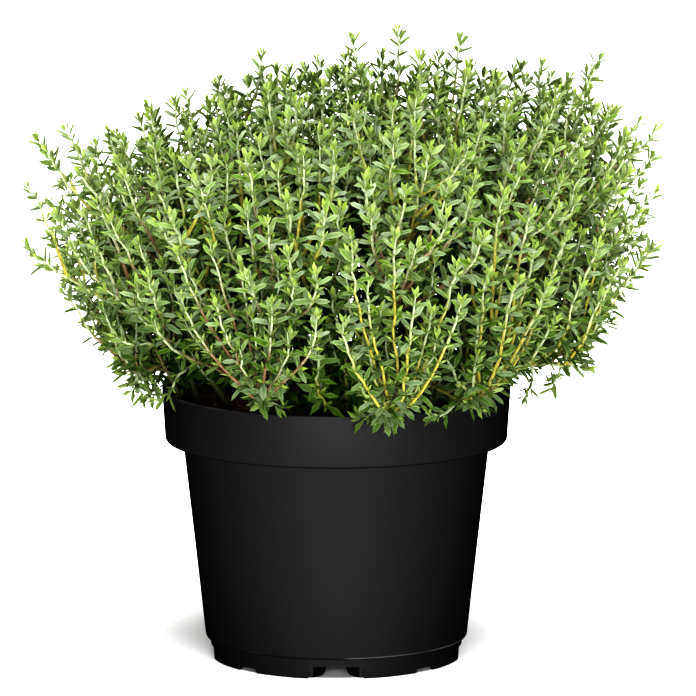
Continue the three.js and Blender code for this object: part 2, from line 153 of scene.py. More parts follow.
def select_only(*pieces):
    bpy.ops.object.select_all(action="DESELECT")
    for piece in pieces:
        piece.select_set(True)
    bpy.context.view_layer.objects.active = pieces[0]


def added(operator, name, **values):
    """Adds a primitive and returns its object."""
    bpy.ops.object.select_all(action="DESELECT")
    operator(**values)
    piece = bpy.context.active_object
    piece.name = piece.data.name = name
    return piece


def settle(piece):
    """Puts a piece's place, turn and scale into its mesh."""
    select_only(piece)
    bpy.ops.object.transform_apply(location=True, rotation=True, scale=True)
    return piece


def joined(pieces):
    select_only(*pieces)
    if len(pieces) > 1:
        bpy.ops.object.join()
    return bpy.context.active_object


def copies_round(piece, number, start=0.0):
    """The piece and its copies, each with its own mesh, turned evenly round the pot's axis and joined."""
    made = []
    for i in range(number):
        twin = piece.copy()
        twin.data = piece.data.copy()
        bpy.context.collection.objects.link(twin)
        twin.rotation_euler.z = start + i * TURN / number
        made.append(settle(twin))
    bpy.data.objects.remove(piece)
    return joined(made)


def combine(piece, other, operation):
    modifier = piece.modifiers.new(operation.lower(), "BOOLEAN")
    modifier.operation = operation
    modifier.solver = "EXACT"
    modifier.object = other
    select_only(piece)
    bpy.ops.object.modifier_apply(modifier=modifier.name)
    bpy.data.objects.remove(other)


def select_points(piece, chosen):
    """Selects the points of the active piece whose place the test accepts."""
    with editing():
        bpy.ops.mesh.select_mode(type="VERT")
        bpy.ops.mesh.select_all(action="DESELECT")
    for point in piece.data.vertices:
        point.select = bool(chosen(piece.matrix_world @ point.co))


def bevel_edges(piece, chosen, width, segments):
    select_points(piece, chosen)
    with editing():
        bpy.ops.mesh.bevel(offset=width, segments=segments, affect="EDGES")


def draw_out(move, middle, *scale):
    """Extrudes what is selected, and scales its far end about the middle."""
    bpy.ops.mesh.extrude_region_move(TRANSFORM_OT_translate={"value": move})
    bpy.ops.transform.resize(value=scale, center_override=middle)


def face_outwards():
    bpy.ops.mesh.select_all(action="SELECT")
    bpy.ops.mesh.normals_make_consistent(inside=False)


def taken_apart(piece):
    """The piece's points and faces, which are all that stays of it."""
    points = np.array([point.co[:] for point in piece.data.vertices])
    faces = [face.vertices[:] for face in piece.data.polygons]
    bpy.data.objects.remove(piece)
    return points, faces


UNDER_HALF = 0.49


def rounded(corners, steps=4):
    """A section's (radius, height, rounding) corners as points, each inner corner turned in short steps."""
    places = [np.array(corner[:2]) for corner in corners]
    points = [places[0]]
    for i in range(1, len(corners) - 1):
        before, here, after = places[i - 1 : i + 2]
        ends = []
        for other in (before, after):
            run = np.linalg.norm(other - here)
            ends.append(here + (other - here) * min(corners[i][2], run * UNDER_HALF) / run)
        for t in np.linspace(0, 1, steps + 1):
            points.append(ends[0] * (1 - t) ** 2 + here * 2 * t * (1 - t) + ends[1] * t**2)
    return points + [places[-1]]


def turned(name, section, sides):
    """A closed body of rings: a circle is extruded and scaled through each point of the section."""
    (radius, height), *rest = section
    piece = added(
        bpy.ops.mesh.primitive_circle_add, name, vertices=sides, radius=radius, location=(0, 0, height)
    )
    with editing():
        for next_radius, next_height in rest:
            scale = next_radius / radius
            draw_out((0, 0, next_height - height), (0, 0, next_height), scale, scale, 1)
            radius, height = next_radius, next_height
        bpy.ops.mesh.select_all(action="SELECT")
        bpy.ops.mesh.fill_holes(sides=0)
        face_outwards()
    return settle(piece)


def smooth(piece, degrees):
    select_only(piece)
    bpy.ops.object.shade_smooth_by_angle(angle=math.radians(degrees))


def stand_in(piece, slot, *nodes):
    """Fixes a finished piece to the object's body, in place of its solids."""
    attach(piece, "root")
    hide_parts(*nodes)


# Materials
class Signal:
    """A number or colour that varies over a surface. Sums and products of signals add Math nodes."""

    def __init__(self, finish, socket):
        self.finish = finish
        self.socket = socket

    def math(self, operation, *values, clamp=False):
        return self.finish.node("Math", dict(enumerate(values)), operation=operation, use_clamp=clamp)

    def __add__(self, other):
        return self.math("ADD", self, other)

    def __sub__(self, other):
        return self.math("SUBTRACT", self, other)

    def __rsub__(self, other):
        return self.math("SUBTRACT", other, self)

    def __mul__(self, other):
        return self.math("MULTIPLY", self, other)

    def __abs__(self):
        return self.math("ABSOLUTE", self)

    __radd__ = __add__
    __rmul__ = __mul__

    def clamped(self):
        return self.math("ADD", self, 0.0, clamp=True)

    def between(self, low, high):
        """0 up to low, 1 from high on, and a smooth rise between."""
        values = {"Value": self, "From Min": low, "From Max": high}
        return self.finish.node("MapRange", values, interpolation_type="SMOOTHSTEP")


class Finish:
    """A material in the making."""

    def __init__(self, name):
        self.material = bpy.data.materials.new(name)
        self.material.use_nodes = True
        self.tree = self.material.node_tree
        self.tree.nodes.clear()
        self.place = self.node("TexCoord", output="Object")

    def node(self, kind, inputs=None, output=0, **settings):
        """Adds a node, sets it up, then gives its sockets their values or links."""
        made = self.tree.nodes.new("ShaderNode" + kind)
        for key, value in settings.items():
            setattr(made, key, value)
        for key, value in (inputs or {}).items():
            self.feed(made.inputs[key], value)
        return Signal(self, made.outputs[output]) if made.outputs else made

    def feed(self, socket, value):
        if isinstance(value, Signal):
            self.tree.links.new(value.socket, socket)
        elif socket.type == "RGBA":
            socket.default_value = (*value, 1)
        else:
            socket.default_value = value

    def noise(self, scale, detail=3.0, roughness=0.55):
        values = {"Vector": self.place, "Scale": scale, "Detail": detail, "Roughness": roughness}
        return self.node("TexNoise", values)

    def blend(self, factor, first, second):
        return self.node("Mix", {0: factor, 6: first, 7: second}, 2, data_type="RGBA")

    def coated(self, tint, *coats):
        """A colour with coats of others over it, each given as (how much, colour)."""
        for factor, coat in coats:
            tint = self.blend(factor, tint, coat)
        return tint

    def mixed(self, factor, first, second):
        return self.node("MixShader", {0: factor, 1: first, 2: second})

    def parts(self, vector):
        """The three numbers of a vector."""
        split = self.node("SeparateXYZ", {"Vector": vector})
        return [Signal(self, output) for output in split.socket.node.outputs]

    def stored(self, attribute):
        """The three numbers that an attribute of the mesh holds."""
        return self.parts(self.node("Attribute", output="Vector", attribute_name=attribute))

    def bump(self, height, strength, distance):
        return self.node("Bump", {"Height": height, "Strength": strength, "Distance": distance})

    def principled(self, tint, rough, normal=None, gloss=0.5):
        inputs = {"Base Color": tint, "Roughness": rough, "Specular IOR Level": gloss}
        if normal:
            inputs["Normal"] = normal
        return self.node("BsdfPrincipled", inputs)

    def surface(self, shader):
        self.node("OutputMaterial", {"Surface": shader})
        return self.material


def shade(tint, factor):
    return [factor * part for part in tint]


LIP_DUST = (0.0011, 0.0002)
SEAM_MIDDLE = 0.0006
SEAM_SHARPNESS = 2500


def plastic_finish(pot):
    """Black moulded plastic with a satin sheen that fades at a slant, a fine grain and faint clouding.
    There is some dust on it, more on its lip, and a painted highlight along the edge above the foot."""
    finish = Finish("pot_plastic")
    clouds = finish.noise(28.0)
    grain = finish.noise(2600.0, 2.0, 0.6)
    dust = finish.noise(420.0, 4.0, 0.7).between(0.62, 0.8) * clouds.between(0.45, 0.7)
    height = finish.parts(finish.place)[2]
    lip_from, lip_to = (pot.height - below for below in LIP_DUST)
    lip = height.between(lip_from, lip_to) * clouds.between(0.42, 0.66)
    # Painted highlight: a thin pale line on the edge just above the foot, where it would catch light.
    seam = (1 - abs(height - pot.foot_height - SEAM_MIDDLE) * SEAM_SHARPNESS).clamped()
    dust_and_glint = seam * clouds.between(0.45, 0.6)
    tint = finish.coated(
        pot.plastic,
        (clouds * 0.5, shade(pot.plastic, 1.5)),
        (dust * 0.1, pot.dust),
        (lip * 0.2 + dust_and_glint * 0.5, pot.dust_and_glint),
    )
    rough = pot.roughness - 0.04 + clouds * 0.08 + grain * 0.04 + dust * 0.12
    normal = finish.bump(grain + clouds * 0.4, 0.10, 0.00006)
    body = finish.principled(tint, rough, normal, 0.0)
    satin = finish.node("BsdfGlossy", {"Color": (1, 1, 1), "Roughness": rough, "Normal": normal})
    slant = finish.node("LayerWeight", {"Blend": 0.5}, "Facing")
    return finish.surface(finish.mixed((1 - slant * 0.97) * pot.sheen, body, satin))


def soil_finish(soil):
    """Damp crumbly compost with dry reddish bits."""
    finish = Finish("potting_soil")
    tone, fibre, _ = finish.stored("growth")
    patches = finish.noise(120.0, 4.0, 0.65)
    specks = finish.noise(1500.0, 3.0, 0.7)
    dry = (patches * 0.5 + specks * 0.45 + tone * 0.75 - 0.45).clamped()
    tint = finish.coated(soil.dark, (dry, soil.light), (fibre * (0.35 + tone * 0.5), soil.fibre))
    normal = finish.bump(specks + patches, 0.8, 0.0004)
    return finish.surface(finish.principled(tint, 0.72 + dry * 0.25, normal))


def leaf_finish(look):
    """Thyme leaf: green to grey green, and paler below, with a painted highlight along its margins and
    painted shade along its sunk midrib.
    It is bright yellow green while young and lets some light through; deep inside the crown, and sooner low
    down, painted shade makes it dark and dull."""
    finish = Finish("thyme_leaf")
    youth, tone, depth = finish.stored("growth")
    along, across, lift = finish.stored("leaf_place")
    mottle = finish.noise(900.0, 3.0, 0.6)
    glands = finish.noise(5200.0, 1.0, 0.4)
    below = (0.0 - lift).between(0.05, 0.5)
    rim = abs(across)
    rib = (1 - rim * 5.5).clamped() * (1 - along * 0.8)
    tint = finish.coated(
        look.mature,
        # Painted shade: leaves deep in the crown are less grey.
        (tone * (1 - depth * 0.9), look.grey),
        (mottle.between(0.35, 0.75) * 0.4, shade(look.mature, 0.72)),
        (youth, look.fresh),
        (below * (1 - youth * 0.5) * 0.8, look.underside),
        # Painted shade along the sunk midrib.
        (rib * 0.5, shade(look.mature, 0.6)),
        # Painted highlight along the margins, where the rolled edges would catch light.
        (rim.between(0.45, 1.0) * 0.5, look.tip_stem_and_margin_highlight),
    )
    rough = 0.42 + mottle * 0.14 + below * 0.2
    normal = finish.bump(glands * 0.6 + mottle - rib * 0.8, 0.35, 0.00012)
    body = finish.principled(tint, rough, normal, 0.36)
    glow = finish.node("BsdfTranslucent", {"Color": look.glow})
    # Painted shade: deep in the crown a leaf lets less light through and turns from its glossy colour to
    # the plain dark inner one.
    lit = finish.mixed(0.18 - depth * 0.16, body, glow)
    return finish.surface(finish.mixed(depth * 0.9, lit, finish.node("BsdfDiffuse", {"Color": look.inner})))


def stem_finish(look):
    """Streaked bark: pale green near the tip, ochre or reddish half way down and brown near the soil, with
    painted shade deep inside the crown.
    """
    finish = Finish("thyme_stem")
    age, tone, depth = finish.stored("growth")
    streaks = finish.noise(700.0, 4.0, 0.6)
    place = (age + streaks * 0.24 - 0.12).clamped()
    middle = finish.blend(tone.between(0.3, 0.7), look.red_stem, look.mid_stem)
    tint = finish.coated(
        look.tip_stem_and_margin_highlight,
        (place.between(0.1, 0.34), middle),
        (place.between(0.5, 0.8), look.wood),
        (streaks.between(0.4, 0.7) * 0.35, shade(look.wood, 0.6)),
        # Painted shade: stems deep in the crown, and sooner low down, are darkened towards the inner
        # colour.
        (depth * 0.65, look.inner),
    )
    normal = finish.bump(streaks, 0.5, 0.0002)
    return finish.surface(finish.principled(tint, 0.58 + place * 0.25, normal, 0.3))


# Pot
EDGE = 0.0004
CORNER = 0.0012
SHELF = 2.4
INNER_FLOOR = 0.8
NOTCHES = 4
DRAINS = 8
RIB_LENGTH = 0.0096
RIB_ROUND = 0.0038
RIB_PLACE = -0.0446
RIB_REACH = 0.004
STEP_WIDTH = 0.008
STEP_FLARE = 0.0015
STEP_HEIGHT = 0.0017
DRAIN_PLACE = 0.033


def on_circle(radius, azimuth):
    return radius * math.cos(azimuth), radius * math.sin(azimuth)


def pot_section(pot):
    """From the underside of the floor, round the foot, up the wall, over the rim and down inside."""
    wall, foot_top = pot.wall, pot.foot_height
    band_foot = pot.height - pot.band_height
    return rounded([
        (pot.foot_radius - wall, pot.floor_height, 0),
        (pot.foot_radius - wall, 0, EDGE),
        (pot.foot_radius, 0, EDGE),
        (pot.foot_radius + pot.foot_flare, foot_top, EDGE / 2),
        (pot.waist_radius, foot_top, CORNER),
        (pot.neck_radius, band_foot, EDGE),
        (pot.band_foot_radius, band_foot, CORNER),
        (pot.rim_radius, pot.height, wall / 2),
        (pot.rim_radius - wall, pot.height, wall / 2),
        (pot.band_foot_radius - wall, band_foot + wall, CORNER),
        (pot.neck_radius - wall, band_foot + wall, CORNER),
        (pot.waist_radius - wall, foot_top + wall, CORNER),
        (pot.waist_radius - SHELF * wall, pot.floor_height + wall, CORNER),
        (pot.foot_radius * INNER_FLOOR, pot.floor_height + wall, 0),
    ])


def cube(name, place, size, turn=0.0):
    return added(
        bpy.ops.mesh.primitive_cube_add, name, size=1, location=place, scale=size, rotation=(0, 0, turn)
    )


def notch_cutters(pot):
    place = -math.sqrt(pot.foot_radius**2 - pot.notch_width**2 / 4)
    cutter = cube("notch", (0, place, 0), (pot.notch_width, 3 * pot.wall, 2 * pot.notch_height))
    for side in (-1, 1):
        bevel_edges(cutter, lambda p: p.z > 0 and p.x * side > pot.notch_width * UNDER_HALF, EDGE * 1.5, 3)
    return copies_round(settle(cutter), NOTCHES)


def step_cutters(pot):
    cutter = cube("step", (0, pot.wall - pot.foot_radius, 0), (STEP_WIDTH, 4 * pot.wall, 2 * STEP_HEIGHT))
    select_points(cutter, lambda p: p.z < 0)
    with editing():
        flare = 1 + 2 * STEP_FLARE / STEP_WIDTH
        bpy.ops.transform.resize(value=(flare, 1, 1), center_override=(0, 0, 0))
    return copies_round(settle(cutter), NOTCHES, QUARTER / 2)


def drain_cutters(pot):
    cutter = added(
        bpy.ops.mesh.primitive_cylinder_add, "drain", vertices=36, radius=pot.drain_radius,
        depth=6 * pot.wall, location=(0, -DRAIN_PLACE, pot.floor_height),
    )
    return copies_round(settle(cutter), DRAINS)


def foot_ribs(pot):
    """Two ribs behind each notch run inwards from its sides, each with a rounded lower end."""
    start = pot.notch_width / 2 + pot.wall / 2
    heading = math.acos((RIB_REACH - start) / RIB_LENGTH)
    top = pot.floor_height + pot.wall / 2
    made = []
    for side in (-1, 1):
        turn = heading if side > 0 else math.pi - heading
        ahead = np.array(on_circle(1, turn))
        middle = np.array([side * start, RIB_PLACE]) + ahead * RIB_LENGTH / 2
        rib = cube("rib", (*middle, top / 2), (RIB_LENGTH, pot.wall, top), turn)
        limit = ahead @ middle
        bevel_edges(rib, lambda p: p.z < top / 2 and ahead @ np.array(p.xy) > limit, RIB_ROUND, 6)
        made.append(settle(rib))
    return copies_round(joined(made), NOTCHES)


class THYME_OT_pot(bpy.types.Operator):
    """Make the moulded nursery pot with its banded rim, notched foot and drain holes"""

    bl_idname = "thyme.make_pot"
    bl_label = "Nursery pot"

    def execute(self, context):
        pot = context.scene.thyme_pot
        piece = turned("nursery_pot", pot_section(pot), pot.sides)
        combine(piece, foot_ribs(pot), "UNION")
        combine(piece, joined([notch_cutters(pot), step_cutters(pot), drain_cutters(pot)]), "DIFFERENCE")
        smooth(piece, 38)
        piece.data.materials.clear()
        piece.data.materials.append(plastic_finish(pot))
        stand_in(piece, "pot", "pot")
        return {"FINISHED"}


# Growing pieces: points, faces and values of a mesh that is put together from many small parts
class Growth:
    def __init__(self):
        self.points, self.faces, self.values, self.places, self.slots = [], [], [], [], []
        self.total = 0

    def add(self, points, faces, value, place=None, slot=0):
        """Adds points in metres, with faces that count from the first of them."""
        points = np.asarray(points).reshape(-1, 3)
        self.points.append(points)
        self.values.append(np.broadcast_to(value, points.shape))
        self.places.append(np.zeros_like(points) if place is None else place)
        for face in faces:
            block = (np.asarray(face) + self.total).reshape(-1, np.shape(face)[-1])
            self.faces += block.tolist()
            self.slots += [slot] * len(block)
        self.total += len(points)

    def made(self, name, finishes):
        mesh = bpy.data.meshes.new(name)
        mesh.from_pydata(np.concatenate(self.points), [], self.faces)
        for title, table in (("growth", self.values), ("leaf_place", self.places)):
            attribute = mesh.attributes.new(title, "FLOAT_VECTOR", "POINT")
            attribute.data.foreach_set("vector", np.concatenate(table).astype(np.float32).ravel())
        for finish in finishes:
            mesh.materials.append(finish)
        mesh.polygons.foreach_set("material_index", np.array(self.slots, np.int32))
        mesh.update()
        piece = bpy.data.objects.new(name, mesh)
        bpy.context.collection.objects.link(piece)
        return piece


def unit(vectors):
    return vectors / np.linalg.norm(vectors, axis=-1, keepdims=True)


def slanting(first, second, angle):
    """The way at this angle from the first of two that are square to each other, towards the second."""
    return first * math.cos(angle) + second * math.sin(angle)


def at_shares(u, shares, table):
    """Rows of a table, read off between the shares at which they stand."""
    return np.stack([np.interp(u, shares, column) for column in table.T], -1)


SHOOT_STEPS = 80
FIRST_NODE = 0.5
FIRST_STEP = 1.1
STEP_GROWTH = 1.5
CLOSE_STEP = 0.6
OPEN_GROWTH = 45
NODE_SWAY = 0.34
SQUARENESS = 0.08


class Shoot:
    """A length of stem along a Bezier curve, in millimetres. Places on it are shares of its length."""

    def __init__(self, controls, side, radii):
        steps = np.linspace(0, 1, SHOOT_STEPS + 1)[:, None]
        layers = [np.asarray(control) + 0 * steps for control in controls]
        while len(layers) > 1:
            layers = [a + (b - a) * steps for a, b in zip(layers, layers[1:])]
        self.line = layers[0]
        travelled = np.concatenate([[0], np.cumsum(np.linalg.norm(np.diff(self.line, axis=0), axis=1))])
        self.length = travelled[-1]
        self.shares = travelled / self.length
        self.headings = unit(np.gradient(self.line, axis=0))
        self.side = side
        self.radii = radii
        self.bends = (np.array([0.0, 1.0]), np.zeros((2, 3)))
        self.nodes = []

    def set_nodes(self, internode, bare, draw):
        """Distances of the leaf pairs from the tip: crowded there, and further apart all the way down.
        The shoot is bent a little at each."""
        place, step = FIRST_NODE, FIRST_STEP
        while place < self.length * (1 - bare):
            self.nodes.append(place)
            place += step
            longest = internode * (CLOSE_STEP + (1 - CLOSE_STEP) * min(1, place / OPEN_GROWTH))
            step = min(longest, step * STEP_GROWTH)
        places = np.array([self.length, *reversed(self.nodes)])
        sway = draw.normal(0, NODE_SWAY, (len(places), 3))
        sway[0] = 0
        self.bends = (1 - places / self.length, sway)

    def point(self, u):
        return at_shares(u, self.shares, self.line) + at_shares(u, *self.bends)

    def heading(self, u):
        return unit(at_shares(u, self.shares, self.headings))

    def across(self, u):
        """Two directions square to the shoot and to each other."""
        ahead = self.heading(u)
        level = unit(self.side - ahead * (ahead @ self.side)[..., None])
        return level, np.cross(ahead, level)

    def radius(self, u):
        return self.radii[0] + (self.radii[1] - self.radii[0]) * u


def tube(shoot, places, swell, sides):
    """Points in metres and faces of a shoot's bark, closed at both ends. It is slightly square where it
    has sides enough for that."""
    level, lift = shoot.across(places)
    angles = (np.arange(sides) + 0.5) * TURN / sides
    shape = 1 + SQUARENESS * np.cos(4 * angles) * (sides > 6)
    radius = (shoot.radius(places) * swell)[:, None, None]
    around = np.cos(angles)[None, :, None] * level[:, None] + np.sin(angles)[None, :, None] * lift[:, None]
    points = shoot.point(places)[:, None] + around * radius * shape[None, :, None]
    rings = np.arange(len(places) * sides).reshape(-1, sides)
    after = np.roll(rings, -1, 1)
    walls = np.stack([rings[:-1], after[:-1], after[1:], rings[1:]], -1).reshape(-1, 4)
    return points * MM, [walls, rings[:1, ::-1], rings[-1:]]


# Soil
SOIL_TOP = 97
SOIL_CROWN = 1.5
LUMP_HEIGHT = 0.8
COARSE_WAVE = (0.21, 0.17)
FINE_WAVE = (0.31, 0.43)
RIM_RADIUS = 65
RIM_WALL = 1.4
POT_HEIGHT = 102
SOIL_SECTION = [(45.2, 5.7), (47.2, 9), (55.5, 83.7), (62.1, 83.7), (62.85, 94.5)]
SOIL_RINGS = 26
SOIL_SIDES = 120
COARSE_LUMPS = (0.28, 0.9)
FINE_LUMPS = (0.9, 0.35)
CRUMB_REACH = 61.8
CRUMB_SPREAD = 0.42
CRUMB_SHAPE = (0.65, 1.15)
CRUMB_RISE = 0.25
FIBRE_REACH = 58
FIBRE_EDGE = 60
FIBRE_LENGTH = (3, 9)
FIBRE_KINK = 1.2
FIBRE_ARCH = (1.0, 2.6)
FIBRE_RADIUS = (0.1, 0.2)


def soil_height(x, y):
    """The soil's top as the frame has it, in millimetres."""
    dome = SOIL_CROWN * (1 - (x * x + y * y) / RIM_RADIUS**2)
    lumps = np.sin(COARSE_WAVE[0] * x) * np.cos(COARSE_WAVE[1] * y)
    lumps = lumps + np.sin(FINE_WAVE[0] * x + FINE_WAVE[1] * y) / 2
    return SOIL_TOP + dome + LUMP_HEIGHT * lumps


def crumbly_height(x, y):
    """The soil's top with small lumps on it, in millimetres. The two kinds of lump each have their
    closeness and their height."""
    coarse = noise.fractal(Vector((x, y, 3.0)) * COARSE_LUMPS[0], 1.0, 2.0, 3)
    fine = noise.noise(Vector((x, y, 9.0)) * FINE_LUMPS[0])
    return soil_height(x, y) + (COARSE_LUMPS[1] * coarse + FINE_LUMPS[1] * fine)


def soil_plug():
    section = [(radius * MM, height * MM) for radius, height in SOIL_SECTION]
    top_radius = SOIL_SECTION[-1][0]
    for ring in range(SOIL_RINGS, 0, -1):
        section.append((top_radius * MM * ring / (SOIL_RINGS + 1), SOIL_TOP * MM))
    plug = turned("soil_plug", section, SOIL_SIDES)
    for point in plug.data.vertices:
        x, y, z = point.co / MM
        if z > SOIL_TOP - 1:
            point.co.z = crumbly_height(x, y) * MM
    return plug


def crumb_template():
    """An angular crumb one unit in radius: an ico sphere with its points pushed about."""
    ball = added(bpy.ops.mesh.primitive_ico_sphere_add, "crumb", subdivisions=1, radius=1)
    with editing():
        bpy.ops.mesh.select_all(action="SELECT")
        bpy.ops.transform.vertex_random(offset=0.3, uniform=0.5, seed=5)
    return taken_apart(ball)


def random_turn(draw):
    """A random turn in space, as a matrix."""
    turn, _ = np.linalg.qr(draw.normal(size=(3, 3)))
    return turn * np.sign(np.linalg.det(turn))


def scattered(reach, draw):
    """A random place within reach of the pot's axis."""
    return on_circle(reach * math.sqrt(draw.random()), draw.random() * TURN)


def scatter_crumbs(growth, soil, draw):
    points, faces = crumb_template()
    for _ in range(soil.crumbs):
        x, y = scattered(CRUMB_REACH, draw)
        size = soil.crumb_size / MM * draw.lognormal(0, CRUMB_SPREAD)
        shape = points * size * draw.uniform(*CRUMB_SHAPE, 3) @ random_turn(draw).T
        place = (x, y, crumbly_height(x, y) + size * CRUMB_RISE)
        growth.add((shape + place) * MM, [faces], (draw.random(), 0, 0))


def scatter_fibres(growth, soil, draw):
    for _ in range(soil.fibres):
        start = np.array([*scattered(FIBRE_REACH, draw), 0])
        heading = draw.random() * TURN
        reach = draw.uniform(*FIBRE_LENGTH)
        ahead = np.array([*on_circle(1, heading), 0])
        bend = start + ahead * reach / 2 + np.array([*draw.normal(0, FIBRE_KINK, 2), 0])
        end = start + ahead * reach
        controls = []
        for point, rise in ((start, 0.0), (bend, draw.uniform(*FIBRE_ARCH)), (end, 0.0)):
            x, y = point[:2] * min(1, FIBRE_EDGE / max(1, math.hypot(*point[:2])))
            controls.append(np.array([x, y, crumbly_height(x, y) + rise]))
        thick = draw.uniform(*FIBRE_RADIUS)
        strand = Shoot(controls, np.array([-ahead[1], ahead[0], 0.01]), (thick, thick * 0.6))
        growth.add(*tube(strand, np.linspace(0, 1, 6), np.ones(6), 4), (draw.random(), 1, 0))


class THYME_OT_soil(bpy.types.Operator):
    """Fill the pot with crumbly soil, loose crumbs and fibres"""

    bl_idname = "thyme.fill_soil"
    bl_label = "Potting soil"

    def execute(self, context):
        soil = context.scene.thyme_soil
        draw = np.random.default_rng(soil.seed)
        growth = Growth()
        points, faces = taken_apart(soil_plug())
        growth.add(points, [[face] for face in faces], (0.3, 0, 0))
        scatter_crumbs(growth, soil, draw)
        scatter_fibres(growth, soil, draw)
        piece = growth.made("soil_fill", [soil_finish(soil)])
        smooth(piece, 50)
        stand_in(piece, "soil", "potting_soil")
        return {"FINISHED"}


# Stems: the same rule that the frame's stems follow, in millimetres
STEMS = 44
GOLDEN_ANGLE = math.pi * (3 - math.sqrt(5))
BASE_RADIUS = 55
BASE_SPREAD = 0.4
CROWN_RADIUS = 112
CROWN_MIDDLE = 162
CROWN_RISE = 56
CROWN_DROP = 72
LOWEST_TIP = math.radians(126)
TIP_LEAN = math.radians(70)
LEAN_GROWTH = 1.3
LEAN_PER_MM = 1 / 80
DROOP_BELOW = 125
DROOP = math.radians(2)
BASE_LEAN = (math.radians(3), math.radians(38))
TIP_SCATTER = 0.09
TURN_SCATTER = 0.16
HANDLE = 0.36
SHORTEST_HANDLE = 26
ROOTED = 8
STEM_SEED = 41
OUTLINE_TIPS = [
    (23, 8, 234), (48, -38, 224), (5, 42, 221), (-25, -42, 219), (-45, 30, 212), (95, 30, 217),
    (76, -50, 209), (107, -25, 199), (112, 6, 191), (111, -30, 171), (-108, 4, 190), (-94, -38, 188),
    (-71, 44, 201), (-110, -22, 154), (-108, 32, 166), (103, 14, 124), (93, -30, 114), (-80, -20, 110),
    (-70, 20, 104), (20, -76, 101), (-28, -78, 108), (52, -64, 104),
]
SPRIG_PLACE = 0.5
SPRIG_SHARE = 0.36
SPRIG_LEAN = math.radians(48)
SPRIG_SWEEP = 0.3
SPRIG_TURNS = 8
SPRIG_MISS = 2

# The finer growth
STEM_RADIUS = (1.15, 0.42)
SPRIG_RADIUS = (0.56, 0.34)
GROUND_RADIUS = (0.8, 0.36)
STEM_SPACING = (0.85, 1.1)
SPRIG_SPACING = (0.8, 1.05)
CROWN_SHIFT = (4, 0, 0)
CROWN_TILT = 0.09
CROWN_BULGE = 2.45
CROWN_SIDE = 113
CROWN_TOP = 61
CROWN_WAIST = 150
CROWN_TAPER = 0.0072
# Where the painted shade inside the crown starts and how soon it deepens, sooner for lower growth.
LOW_GROWTH = 162
LOW_FADE = 40
DEEP_FROM = (0.86, 0.26)
DEEP_WITHIN = (0.46, -0.14)
CANDIDATES = 14
PLACES = 28
BARE = 0.06
SHOOT_SHARE = 0.45
SHOOT_STEP = 0.12
SHOOT_OFFSET = 5
SHOOT_DEPTH = 2
SHOOT_TURN = 0.7
SHOOT_LEAN = (4, 46)
SHOOT_BEND = 0.4
SHOOT_ONWARD = 0.4
GROUND_REACH = (34, 84)
LOW_REACH = (15, 32)
SOIL_EDGE = 59
SURFACE_PULL = 10
OUTSIDE_PUSH = 400
INNERMOST_TIP = 0.5
SPRIG_PLACES = (0.12, 0.88)
SPRIG_CLIMB = (22, 56)
SPRIG_LEANS = (34, 60)
SPRIG_BEND = (0.25, 0.45)
TIP_BEND = 0.4
CLIMB_STRAIN = 0.35
ODD_STRAIN = 4
MOST_ASIDE = 0.7
LEAST_CLIMB = 12
ROOT_STEPS = 20
SHOOT_ROOM = 2.5
SET_TIPS = [
    (6, 6, 232), (46, 10, 231), (31, -16, 228), (76, 4, 222), (98, 12, 224), (112, -8, 203),
    (119, 4, 198), (-111, 8, 194), (-100, -14, 201), (-28, 12, 225), (117, -20, 178), (118, 16, 186),
    (-76, -12, 103), (-71, -26, 101), (-70, 6, 100), (80, -14, 106), (70, -26, 103), (8, -70, 103),
    (34, -66, 104), (-8, -68, 106), (58, -48, 104), (-60, 38, 104), (64, 30, 105), (0, 72, 104),
    (-74, -6, 108), (-69, -22, 107), (-65, -34, 104), (-20, -66, 106), (22, -70, 104), (46, -60, 106),
    (-114, -6, 178), (-114, -12, 157), (-60, -27, 104), (-62, -16, 105), (-57, -33, 105),
]
OUTWARD = 4.2e-5
BARE_SOIL = (-39, -40)
BARE_SOIL_REACH = 14
BARE_SOIL_TOP = 107


def numbers(seed):
    """A stream of numbers from 0 to 1 that is the same for the same seed."""
    mask = 0xFFFFFFFF
    state = seed
    while True:
        state = (state + 0x6D2B79F5) & mask
        mixed = (state ^ (state >> 15)) * (1 | state) & mask
        mixed = (mixed + ((mixed ^ (mixed >> 7)) * (61 | mixed) & mask) & mask) ^ mixed
        yield (mixed ^ (mixed >> 14)) / (mask + 1)


def crown_point(polar, azimuth, share):
    rise = math.cos(polar) * (CROWN_RISE if polar < QUARTER else CROWN_DROP)
    level = on_circle(share * CROWN_RADIUS * math.sin(polar), azimuth)
    return np.array([*level, CROWN_MIDDLE + share * rise])


def leaning(angle, azimuth):
    return np.array([*on_circle(math.sin(angle), azimuth), math.cos(angle)])


def sideways(azimuth):
    """The level way that is square to this one."""
    return np.array([-math.sin(azimuth), math.cos(azimuth), 0])


